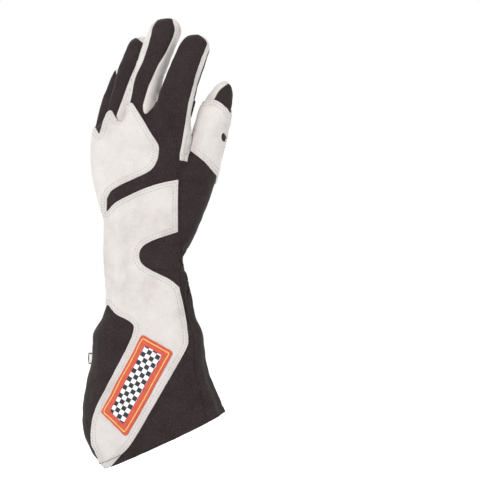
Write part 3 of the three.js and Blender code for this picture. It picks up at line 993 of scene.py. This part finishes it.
def ramp(tree, value, stops):
    node = tree.nodes.new("ShaderNodeValToRGB")
    for _ in range(len(stops) - 2):
        node.color_ramp.elements.new(0.5)
    for element, (at, colour) in zip(node.color_ramp.elements, stops):
        element.position = at
        element.color = (*colour, 1)
    tree.links.new(value, node.inputs["Fac"])
    return node.outputs["Color"]


def grey_ramp(tree, value, stops):
    return ramp(tree, value, [(at, (grey, grey, grey)) for at, grey in stops])


def multiplied(tree, one, two):
    node = tree.nodes.new("ShaderNodeMix")
    node.data_type = "RGBA"
    node.blend_type = "MULTIPLY"
    fill(tree, node, {"Factor": 1.0, "A": one, "B": two})
    return node.outputs["Result"]


def bump(tree, height, strength, distance=0.0003, onto=None):
    inputs = {"Height": height, "Strength": strength, "Distance": distance}
    if onto is not None:
        inputs["Normal"] = onto
    return new_node(tree, "Bump", "Normal", inputs)


def suede(name, dark, middle, light, sheen):
    """Napped leather: a soft cloudy tone, a fine grain and a low velvet sheen; on the dark suede the
    lighter clouds are painted sheen.
    """
    material, tree, place = node_material(name)
    clouds = ramp(tree, noise_of(tree, place, 38, 5), [(0.3, dark), (0.5, middle), (0.72, light)])
    grain = noise_of(tree, place, 1500, 3)
    grain_shade = grey_ramp(tree, grain, [(0.3, 0.84), (0.7, 1)])
    creases = bump(tree, noise_of(tree, place, 190, 6, 0.65), 0.35, 0.0008)
    shade(tree, {
        "Base Color": multiplied(tree, clouds, grain_shade),
        "Roughness": 0.93,
        "Specular IOR Level": 0.2,
        "Sheen Weight": sheen,
        "Sheen Roughness": 0.5,
        "Normal": bump(tree, grain, 0.3, onto=creases),
    })
    return material


def knit(name, dark, light):
    """Fire-proof knit: fine ribs along the glove with a little lint."""
    material, tree, place = node_material(name)
    clouds = ramp(tree, noise_of(tree, place, 60, 5), [(0.3, dark), (0.75, light)])
    lint = noise_of(tree, place, 1050, 3, 0.75)
    specks = ramp(tree, lint, [(0.36, (0.62, 0.62, 0.62)), (0.56, (1, 1, 1)), (0.70, (2.1, 1.95, 1.95))])
    ribs = new_node(tree, "TexWave", "Fac", {
        "Vector": place, "Scale": 260, "Distortion": 1.2, "Detail": 2, "Detail Scale": 2,
    })
    shade(tree, {
        "Base Color": multiplied(tree, clouds, specks),
        "Roughness": 0.9,
        "Specular IOR Level": 0.12,
        "Sheen Weight": 0.06,
        "Sheen Roughness": 0.4,
        "Normal": bump(tree, lint, 0.4, onto=bump(tree, ribs, 0.25)),
    })
    return material


def twill(name, dark, light):
    """Embroidered cloth: slanted satin threads."""
    material, tree, place = node_material(name)
    wave = tree.nodes.new("ShaderNodeTexWave")
    wave.wave_type = "BANDS"
    wave.bands_direction = "DIAGONAL"
    fill(tree, wave, {"Vector": place, "Scale": 420, "Distortion": 0.6, "Detail": 2})
    threads = wave.outputs["Fac"]
    satin = ramp(tree, threads, [(0.1, dark), (0.9, light)])
    spots = grey_ramp(tree, noise_of(tree, place, 300, 3), [(0.3, 0.8), (0.7, 1.06)])
    shade(tree, {
        "Base Color": multiplied(tree, satin, spots),
        "Roughness": 0.62,
        "Sheen Weight": 0.2,
        "Normal": bump(tree, threads, 0.5),
    })
    return material


def checked(name):
    """Plain black and white checks, square to the badge."""
    material, tree, place = node_material(name)
    turned = new_node(tree, "Mapping", "Vector", {"Vector": place, "Rotation": (0, 0, -BACK_VIEW)})
    tilted = new_node(tree, "Mapping", "Vector", {
        "Vector": turned, "Rotation": (0, CHECK_TILT, 0), "Scale": (1, 0, 1),
    })
    squares = new_node(tree, "TexChecker", "Color", {
        "Vector": tilted,
        "Scale": 1 / (CHECK_SIDE * MM),
        "Color1": (0.78, 0.78, 0.78, 1),
        "Color2": (0.012, 0.012, 0.022, 1),
    })
    shade(tree, {
        "Base Color": squares,
        "Roughness": 0.6,
        "Normal": bump(tree, noise_of(tree, place, 1800, 2), 0.3),
    })
    return material


PALE_SHADES = ((0.52, 0.48, 0.462), (0.612, 0.576, 0.558), (0.668, 0.635, 0.616))
DARK_SHADES = ((0.005, 0.004, 0.0035), (0.011, 0.009, 0.008), (0.034, 0.027, 0.022))
PALE = (suede("pale_suede", *PALE_SHADES, 0.1), "pale_suede")
# Dark suede: its lighter clouds are partly mottled tone and partly painted sheen on the nap
DARK = (suede("dark_suede", *DARK_SHADES, 0.05), "dark_suede")
KNIT = (knit("shell_knit", (0.023, 0.0158, 0.0168), (0.036, 0.0255, 0.0268)), "shell_knit")
# Stitch thread, greyer than the suede: partly the thread's own colour, partly painted shade of its needle
# holes
GREY_THREAD_AND_STITCH_SHADE = (twill("grey_thread_and_stitch_shade", (0.36, 0.33, 0.31), (0.52, 0.48, 0.46)), "pale_suede")
# Brown thread of the tail stitches and the wrist zigzag; the same colour also paints the shade in the
# seams between the white panels
BROWN_THREAD_AND_SEAM_SHADE = (twill("brown_thread_and_seam_shade", (0.10, 0.075, 0.06), (0.20, 0.15, 0.12)), "pale_suede")
BLACK_THREAD = twill("black_thread", (0.010, 0.009, 0.009), (0.022, 0.02, 0.02))
BADGE_RED = (twill("badge_red", (0.47, 0.048, 0.024), (0.66, 0.096, 0.050)), "badge_cloth")
BADGE_YELLOW = (twill("badge_yellow", (0.82, 0.36, 0.05), (0.95, 0.62, 0.14)), "badge_cloth")
CHECKS = (checked("badge_checks"), "badge_cloth")
LABEL_TAPE = (twill("label_tape", (0.78, 0.77, 0.75), (0.88, 0.87, 0.86)), "label_tape")
LABEL_EDGE = (twill("label_edge", (0.09, 0.075, 0.08), (0.16, 0.14, 0.145)), "label_tape")


# The skin
def pleat_count(z, angle):
    """Which gather of the wrist elastic a point lies on: whole numbers are the valleys."""
    turned = (angle + math.pi / 2) % (2 * math.pi) - math.pi / 2
    steps = np.linspace(-math.pi / 2, math.pi * 1.5, 721)
    lengths = np.cumsum(np.hypot(WRIST_HALF[0] * np.sin(steps), WRIST_HALF[1] * np.cos(steps)))
    lengths *= steps[1] - steps[0]
    along = np.interp(turned, steps, lengths) - np.interp(math.pi / 2, steps, lengths)
    fan = 1 + 0.022 * np.maximum(z - 3, 0) + 0.012 * np.maximum(-z - CASING, 0)
    return along / (PLEAT * fan) + 0.12 * np.sin(along * 0.7)


def fold_height(z, angle):
    """How far the folds and gathers of the cloth stand out at each point."""
    front = smoothstep(np.sin(angle), -0.45, 0.05)
    # Gathers of the wrist elastic: broad ridges between narrow valleys of uneven length
    count = pleat_count(z, angle)
    own = np.abs(np.sin(np.round(count) * 12.9898) * 43.7585) % 1
    valley = 1 - np.abs(np.sin(count * math.pi)) ** 0.7
    above = smoothstep(z, 3, 8) * np.clip(1 - (z - 6) / (12 + 12 * own), 0, 1)
    below = smoothstep(-z, CASING - 1, CASING + 2) * np.clip(1 + (z + CASING) / (18 + 20 * own), 0, 1)
    gathers = -front * valley * (GATHERS[0] * above + GATHERS[1] * below)
    # Puckers and the two sunk edges of the elastic's casing under the seam
    casing = smoothstep(-z, 0.5, 2.5) * (1 - smoothstep(-z, CASING - 2, CASING))
    puckers = PUCKER * front * casing * np.sin(count * math.pi * 4 + 0.5 * z)
    lower, upper = CASING_EDGES
    edges = -front * (lower * bell(z + CASING, 0.9) + upper * bell(z + 2.2, 0.7))
    edges *= 1 - 0.6 * smoothstep(np.cos(angle), 0.5, 1)
    # The cloth swells below the elastic on the palm side
    swell = smoothstep(-z, CASING, CASING + 15) * (1 - smoothstep(-z, 40, 80))
    swell *= SWELL * smoothstep(np.sin(angle), -0.22, 0.25) * smoothstep(-np.cos(angle), -0.9, -0.1)
    # Long soft folds down the cuff
    wide, narrow = LONG_FOLDS
    long_folds = wide * np.sin(angle * 5 + 0.02 * z + 0.8) + narrow * np.sin(angle * 9 - 0.035 * z)
    long_folds *= smoothstep(-z, 15, 60) * (0.35 + 0.65 * front)
    return gathers - DIP * bell(z - 7, 8) * front + puckers + edges + swell + long_folds


def soft_noise(co, scale, depth, seed):
    return np.array([noise.noise(Vector(p) * scale + Vector((seed, seed, seed))) for p in co]) * depth


def pale_on_fingers(nearest, seen, z):
    """Below zero where the fingers are pale seen from the back."""
    little, ring, middle = (outline_distance(np.array(line), seen, z) for line in PALE_RIGHT_OF.values())
    knuckle = outline_distance(np.array(KNUCKLE_PALE), seen, z)
    left = outline_distance(np.array(PALE_LEFT_OF_MIDDLE), seen, z)
    choices = [little, np.minimum(ring, knuckle), np.minimum(middle, left)]
    return np.select([nearest == 0, nearest == 1, nearest == 2], choices, knuckle)


def even_form():
    """The skin before its folds, with a finer mesh where the wrist is gathered."""
    co, tri = remeshed_skin()
    co = smoothed(co, unique_edges(tri), np.full(len(co), 0.5), FORM_ROUNDS)
    _, body = level_gap(BODY, BODY_SQUARENESS, co)
    palm_side = (co[:, 1] - body[:, 2]) / body[:, 4] > -0.6
    return refined(co, tri, palm_side & (co[:, 2] > GATHERED[0]) & (co[:, 2] < GATHERED[1]))


def blended_places(places, gaps):
    """Height as a share of the depth, half depth, place past the tip and place across the
    finger for each point, passing softly from one finger to the next."""
    weight = np.exp(-np.clip(gaps - gaps.min(axis=0), 0, 30) * 1.2)
    shares = list(zip(weight / weight.sum(axis=0), places))
    return (
        sum(w * place["v"] / place["b"] for w, place in shares),
        sum(w * place["b"] for w, place in shares),
        sum(w * (place["s"] - place["length"]) for w, place in shares),
        sum(w * place["u"] for w, place in shares),
    )


def thumb_wrap(seen, palm_seen, thumb_y, z):
    """Distance to the outline of the overlay round the thumb, and the same with its chink."""
    lobes = [outline_distance(outline(lobe), palm_seen, z) for lobe in (THUMB_LOBE_HIGH, THUMB_LOBE_LOW)]
    round_side = smoothstep(thumb_y, 3, 7)
    wrap = (1 - round_side) * outline_distance(outline(THUMB_BACK_OUTLINE), seen, z)
    wrap += round_side * np.minimum(*lobes)
    chink_x, chink_z, chink_a, chink_b = LOBE_CHINK
    chink = (np.hypot((seen - chink_x) / chink_a, (z - chink_z) / chink_b) - 1) * chink_a
    return wrap, np.maximum(wrap, -chink)


def shaped_skin():
    """The whole skin as a cloth, with the fields that its seams and outlines follow."""
    co, tri = even_form()
    edges = unique_edges(tri)
    places = [finger_place(finger, co) for finger in FINGERS]
    gaps = np.stack([place["gap"] for place in places])
    body_gap, body = level_gap(BODY, BODY_SQUARENESS, co)
    thumb_gap, thumb = level_gap(THUMB, THUMB_SQUARENESS, co)
    # Soften the crotches, finger roots and the web of the thumb
    all_gaps = np.sort(np.stack([*gaps, body_gap, thumb_gap]), axis=0)
    closeness = 1 - smoothstep(all_gaps[1] - all_gaps[0], 0.5, 5)
    co = smoothed(co, edges, 0.5 * closeness * smoothstep(co[:, 2], 5, 30), WEB_ROUNDS)
    normal = point_normals(co, tri)
    angle = np.arctan2((co[:, 1] - body[:, 2]) / body[:, 4], (co[:, 0] - body[:, 1]) / body[:, 3])
    thumb_form = thumb_gap - np.minimum(body_gap, gaps.min(axis=0))
    nearest = np.argmin(gaps, axis=0)
    v_share, depth_b, to_tip, side = blended_places(places, gaps)

    x, y, z = co.T
    seen = seen_from_back(co)
    palm_seen = seen_from_palm(co)
    # Below zero on the back of the hand
    finger_back = (v_share - BACK_SEAM) * depth_b
    over_tip = np.maximum(to_tip + BACK_SHORT + TIP_CAP, 0)
    tip_cap = np.hypot(np.maximum(finger_back + TIP_CAP_SIDE, 0), over_tip) - TIP_CAP
    finger_back = np.where(z > CAPPED_FROM, np.maximum(finger_back, tip_cap), finger_back)
    hand_side = HAND_SIDE + 4 * smoothstep(x, 20, 30) * smoothstep(z, 60, 85)
    on_finger = smoothstep(z, 100, 128)
    back = (1 - on_finger) * (y - hand_side) + on_finger * finger_back
    pale = pale_on_fingers(nearest, seen, z)
    back = np.where(z > PALE_FROM, np.maximum(back, -pale), back)
    # The strip on the side of the index finger
    strip_row = curve_through(INDEX_STRIP, z)
    strip_left = strip_row[:, 1] - seen
    by_share = smoothstep(z, 128, 142)
    strip_outer = (1 - by_share) * (seen - strip_row[:, 2]) + by_share * (v_share - TRIM_SEAM) * depth_b
    on_index = (nearest > ON_INDEX) & (side > 0)
    back = np.where(on_index & (z > TRIM_FOOT), np.maximum(back, -strip_left), back)
    # The thumb: its gore, the ball below it and the overlay round it
    gore_row = curve_through(GORE, z)
    ball = curve_through(THUMB_BASE, z)[:, 1] - palm_seen
    high = smoothstep(z, 88, 104)
    wrap_rows, wrap = thumb_wrap(seen, palm_seen, y - thumb[:, 2], z)
    fields = {
        "x0": x.copy(),
        "y0": y.copy(),
        "z0": z.copy(),
        "back": back,
        "strip": np.where(on_index, np.maximum(strip_left, strip_outer), 9.0),
        "strip_outer": strip_outer,
        "index_front": (v_share - INDEX_FRONT_SEAM + 0.5 * smoothstep(to_tip, -64, 8)) * depth_b,
        "front_share": (v_share - FRONT_SEAM + 0.9 * smoothstep(to_tip, -22, -1)) * depth_b,
        "to_tip": to_tip,
        "side": side,
        "finger": nearest.astype(float),
        "gore": gore_row[:, 1] - gore_row[:, 2] * y - x,
        "ball": (1 - high) * ball + high * thumb_form,
        "thumb_form": thumb_form,
        "wrap": wrap,
        "wrap_rows": wrap_rows,
        "hem": z - (HEM_Z + HEM_PER_X * x + HEM_PER_Y * y),
        "pleat": pleat_count(z, angle),
        "overlay": outline_distance(outline(BACK_OVERLAY), seen, z),
        "patch": outline_distance(outline(PALM_PATCH), palm_seen, z),
        "badge": round_cornered(BADGE, BADGE_ROUND, seen, z),
    }
    height = fold_height(z, angle) + sum(soft_noise(co, *row) for row in UNEVEN)
    moved = smoothed(co + normal * height[:, None], edges, np.full(len(co), 0.5), FOLD_ROUNDS)
    return {"co": moved, "normal": point_normals(moved, tri), "fields": fields, "tri": tri}


skin = shaped_skin()
_, skin = cut(skin, field(skin, "hem"))
cuff, hand = cut(skin, field(skin, "z0"))

# Cuff. Its side seams lie deeper than the seam of the wrist
swing = np.where(field(cuff, "x0") > 0, 0.1 * np.minimum(0, field(cuff, "z0") + 60), 0)
cuff_side = field(cuff, "y0") - (CUFF_SIDE_AT + CUFF_SIDE_PER_X * field(cuff, "x0")) - swing
cuff_back, cuff_palm = cut(cuff, cuff_side)
for cloth, name in ((cuff_back, "cuff_back"), (cuff_palm, "cuff_palm")):
    panel_piece(name, cloth, KNIT, np.where(field(cloth, "z0") > -6, WRIST_TUCK, CUFF_TUCK))

# Thumb: the black gore, then the white front
above_ball = np.where(field(hand, "z0") > BALL_TOP, np.minimum(field(hand, "thumb_form"), 0.5), -9)
thumb_back, rest = split_off(hand, np.maximum(field(hand, "gore"), above_ball))
front_side = -field(rest, "back")
on_thumb = np.minimum(front_side, field(rest, "thumb_form"))
front_side = np.where(field(rest, "z0") < BALL_TOP, front_side, on_thumb)
ball_here = np.maximum.reduce([field(rest, "ball"), BALL_FOOT - field(rest, "z0"), front_side])
thumb_front, rest = split_off(rest, ball_here)
panel_piece("thumb_back", thumb_back, KNIT)
panel_piece("thumb_front", thumb_front, PALE)

# Index finger: the pale strip, then the black side
trim_here = np.maximum(field(rest, "strip"), TRIM_FOOT - field(rest, "z0"))
index_trim, rest = split_off(rest, trim_here)
index_side, rest = split_off(rest, np.maximum.reduce([
    ON_INDEX - field(rest, "finger"), -field(rest, "side"), field(rest, "to_tip") + SIDE_TIP,
    TRIM_FOOT - field(rest, "z0"), -field(rest, "strip_outer"), field(rest, "index_front"),
]))
panel_piece("index_trim", index_trim, PALE)
panel_piece("index_side", index_side, KNIT)

# Back, gussets and palm
back_panel, rest = split_off(rest, field(rest, "back"))
panel_piece("back_panel", back_panel, KNIT)
gussets = []
for low, name in enumerate(("gusset_little_ring", "gusset_ring_middle", "gusset_middle_index")):
    finger, side = field(rest, "finger"), field(rest, "side")
    facing = np.where(finger < low + 0.5, -side, np.where(finger < low + 1.5, side, 9.0))
    facing = np.where(finger < low - 0.5, 9.0, facing)
    gusset, rest = cut(rest, np.maximum.reduce([
        facing, field(rest, "front_share"), field(rest, "to_tip") + SIDE_SHORT, CROTCH - field(rest, "z0"),
    ]))
    gussets.append(gusset)
    panel_piece(name, gusset, PALE)
panel_piece("palm_panel", rest, PALE)

# Overlays and the badge
back_side = np.where(field(skin, "z0") > 0, field(skin, "back"), field(skin, "y0"))
back_side = np.where(field(skin, "z0") > 110, back_side, field(skin, "y0") - 1.5)
overlay, _ = split_off(skin, np.maximum(field(skin, "overlay"), back_side))
overlay_piece("back_overlay", overlay, PALE, "overlay", high=OVERLAY_HIGH)
patch_here = [field(skin, "patch"), 1.0 - field(skin, "y0"), 0.5 - field(skin, "thumb_form")]
patch, _ = split_off(skin, np.maximum.reduce(patch_here))
overlay_piece("palm_patch", patch, DARK, "patch")
wrap, _ = split_off(skin, np.maximum(field(skin, "wrap"), field(skin, "thumb_form")))
overlay_piece("thumb_overlay", wrap, PALE, "wrap")
badge, _ = split_off(overlay, field(overlay, "badge"))
overlay_piece("badge", badge, BADGE_RED, low=BADGE_LOW, high=BADGE_HIGH, soft=BADGE_SOFT)

# Stitches
# The grey of these stitches is partly painted shade of the needle holes
stitch_piece("overlay_stitches", inset_rows(overlay, "overlay", ROWS, height=1.1), GREY_THREAD_AND_STITCH_SHADE)
patch_row = inset_rows(patch, "patch", ROWS[:1], height=1.0)
stitch_piece("patch_stitches", patch_row, (BLACK_THREAD, "dark_suede"))
stitch_piece("thumb_stitches", inset_rows(wrap, "wrap_rows", ROWS, height=1.0), GREY_THREAD_AND_STITCH_SHADE)
hem_rows = []
for cloth in (cuff_back, cuff_palm):
    hem_rows += inset_rows(cloth, "hem", [-HEM_ROW], height=0)
stitch_piece("hem_stitches", hem_rows, (BLACK_THREAD, "shell_knit"))
tail_row = inset_rows(overlay, "hem", [-TAIL_ROW], height=1.3)
stitch_piece("tail_stitches", tail_row, BROWN_THREAD_AND_SEAM_SHADE, pitch=1.6, length=1.5)

# Fine dark lines of painted shade sunk in the seams between the white panels, and the zigzag thread of the
# wrist elastic
seams = []
for cloth in gussets + [thumb_front]:
    seams += all_even(rim_lines(cloth), pitch=0.9, smooth=2)
# Painted shade: dark lines sunk along the seams of the gussets and the thumb front
new_piece("seam_shade_lines", sweep(seams, THREAD_AND_SEAM_SHADE, -SEAM_SUNK), BROWN_THREAD_AND_SEAM_SHADE)
for cloth, name, look in (
    (rest, "elastic_zigzag", BROWN_THREAD_AND_SEAM_SHADE),
    (thumb_back, "elastic_zigzag_side", KNIT),
):
    near_wrist, _ = cut(cloth, field(cloth, "z0") - 20)
    wave = np.abs((field(near_wrist, "pleat") % 1) * 2 - 1)
    zigzag = contour(near_wrist, field(near_wrist, "z0") - ZIGZAG_FOOT - ZIGZAG_HEIGHT * wave)
    new_piece(name, sweep(all_even(zigzag, pitch=0.5, smooth=0), THREAD_AND_SEAM_SHADE, 0.05), look)

# The badge's yellow line and its plain black and white checks
inner = all_even(contour(badge, field(badge, "badge") + BADGE_LINE_IN), pitch=0.8, smooth=2)
new_piece("badge_line", sweep(inner, BADGE_CORD, BADGE_LINE_LIFT), BADGE_YELLOW)
checks, _ = split_off(badge, field(badge, "badge") + CHECKS_IN)
new_piece("badge_checks", slab(checks, CHECKS_HIGH, CHECKS_LOW), CHECKS)

# The blank label: a strip of tape and a border round it
low, high = (np.array(corner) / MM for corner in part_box("side_label"))
rows, columns = LABEL_GRID
across = low[0] - 0.3 + (high[0] - low[0] + LABEL_HIDDEN) * np.linspace(0, 1, columns)
x, z = (axis.ravel() for axis in np.meshgrid(across, np.linspace(low[2], high[2], rows)))
grid = np.stack([x, LABEL_WAVE * np.sin(z * 0.5), z], axis=1)
first = np.array([r * columns + c for r in range(rows - 1) for c in range(columns - 1)])[:, None]
tape = {
    "co": grid,
    "normal": np.tile([0.0, 1.0, 0.0], (len(grid), 1)),
    "tri": np.concatenate([first + [columns, columns + 1, 1], first + [columns, 1, 0]]),
}
label = new_piece("side_label_tape", slab(tape, LABEL_HALF, -LABEL_HALF), LABEL_TAPE)
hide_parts("side_label")
last = rows * columns
ring = grid[[
    *range(columns),
    *range(2 * columns - 1, last, columns),
    *range(last - 2, last - columns - 1, -1),
    *range(last - 2 * columns, -1, -columns),
]]
border = [(ring, unit(ring - grid.mean(axis=0)))]
new_piece("label_border", sweep(border, LABEL_CORD, 0), LABEL_EDGE)


# Stage
def stage_plane():
    half, z = FLOOR_HALF, cad_box[0][2] - FLOOR_DROP
    corners = [(-half, -half, z), (half, -half, z), (half, half, z), (-half, half, z)]
    floor = new_object("floor", corners, [(0, 1, 2, 3)])
    material, tree, _ = node_material("floor_paint")
    shade(tree, {
        "Base Color": (0.88, 0.88, 0.88, 1),
        "Roughness": 0.95,
        "Specular IOR Level": 0.1,
        "Emission Color": (1, 1, 1, 1),
        "Emission Strength": 0.14,
    })
    floor.data.materials.append(material)


def area_light(name, place, size, power):
    data = bpy.data.lights.new(name, "AREA")
    data.energy = power
    data.size = size
    light = bpy.data.objects.new(name, data)
    light.location = place
    light.rotation_euler = (Vector((0, 0, 0)) - Vector(place)).to_track_quat("-Z", "Y").to_euler()
    bpy.context.collection.objects.link(light)


def world_light():
    world = bpy.data.worlds.new("studio")
    world.use_nodes = True
    background = world.node_tree.nodes["Background"]
    background.inputs["Color"].default_value = (1, 1, 1, 1)
    background.inputs["Strength"].default_value = 1.0
    bpy.context.scene.world = world


def photo_camera():
    data = bpy.data.cameras.new("camera")
    data.lens = CAMERA_LENS
    data.sensor_width = 36
    camera = bpy.data.objects.new("camera", data)
    bpy.context.collection.objects.link(camera)
    right = Vector((math.cos(BACK_VIEW), math.sin(BACK_VIEW), 0))
    back = Vector((math.sin(BACK_VIEW), -math.cos(BACK_VIEW), 0))
    target = right * TARGET_RIGHT + Vector((0, 0, TARGET_UP))
    camera.location = target + back * CAMERA_FAR
    camera.rotation_euler = (target - camera.location).to_track_quat("-Z", "Y").to_euler()
    bpy.context.scene.camera = camera


stage_plane()
world_light()
area_light("key", (-0.3, -1.8, 1.4), 0.7, 18)
area_light("palm_key", (-1.3, 1.4, 1.3), 0.6, 16)
area_light("side", (1.9, -0.4, 0.9), 1.0, 6)
photo_camera()
bpy.context.scene.view_settings.view_transform = "Standard"
